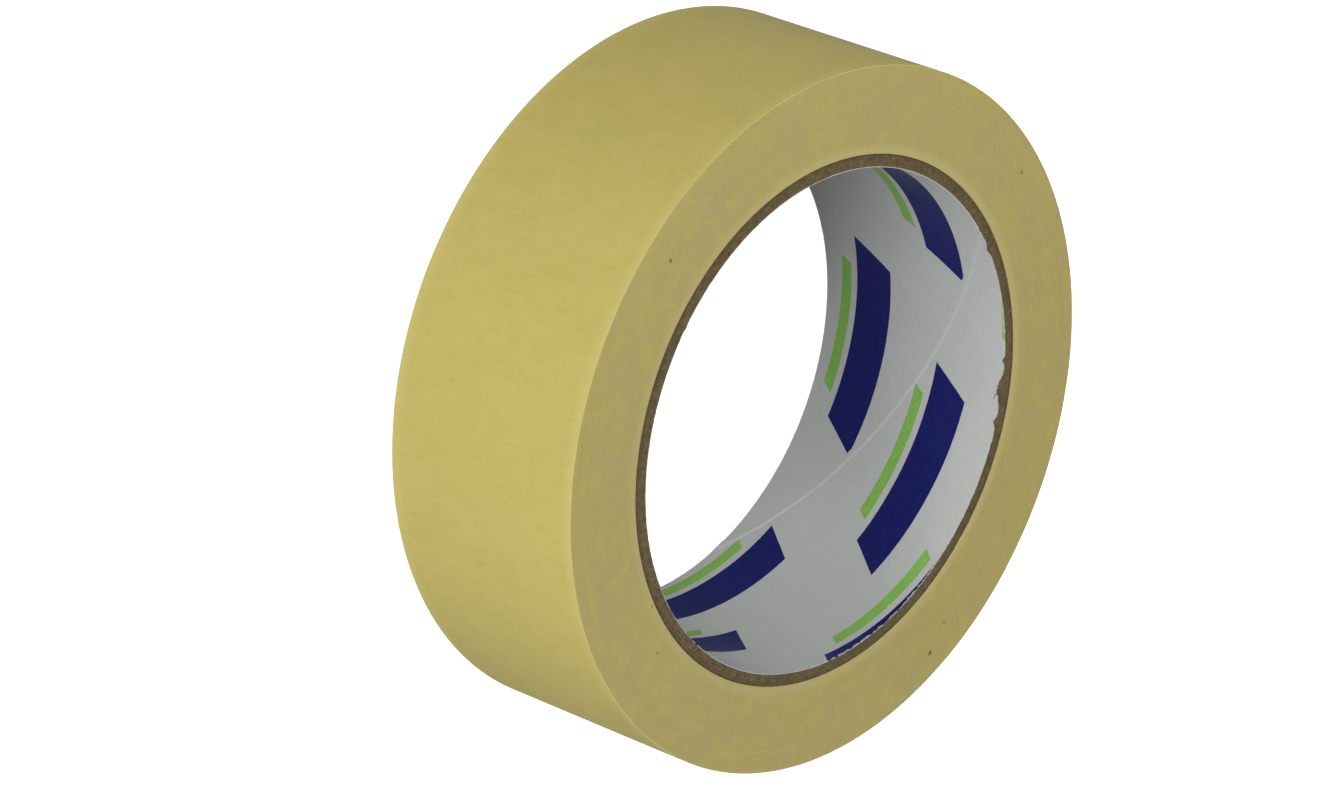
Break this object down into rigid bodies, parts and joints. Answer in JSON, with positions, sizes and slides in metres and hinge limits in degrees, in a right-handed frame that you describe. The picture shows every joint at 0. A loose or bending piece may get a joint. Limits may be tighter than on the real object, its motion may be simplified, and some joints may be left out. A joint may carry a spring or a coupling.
{
  "type": "masking tape roll",
  "caption": "Full roll of crepe paper masking tape on a spiral-wound paper core, with a short free end that lifts to start peeling.",
  "frame": {"origin": "on the core's axis, in the plane of the lower side face that the roll lies on", "axes": "+Z along the core's axis, up from the lower side face; +X and +Y across the roll"},
  "size_m": [0.1063, 0.1062, 0.036],
  "materials": {
    "liner_paper": "glossy",
    "kraft_board": "matte",
    "crepe_tape": "satin",
    "adhesive": "glossy"
  },
  "bodies": {
    "roll": {"printed_liner": "liner_paper", "core_ply_inner": "kraft_board", "core_ply_middle": "kraft_board", "core_ply_outer": "kraft_board", "wound_tape": "crepe_tape", "last_turn": "crepe_tape"},
    "free_end": {"free_end_paper": "crepe_tape", "free_end_adhesive": "adhesive"}
  },
  "joints": [
    {"name": "free_end_peel", "type": "hinge", "parent": "roll", "child": "free_end", "pos_m": [0.02773, 0.04545, 0.018], "axis": [0, 0, -1], "range_deg": [0, 160]}
  ]
}
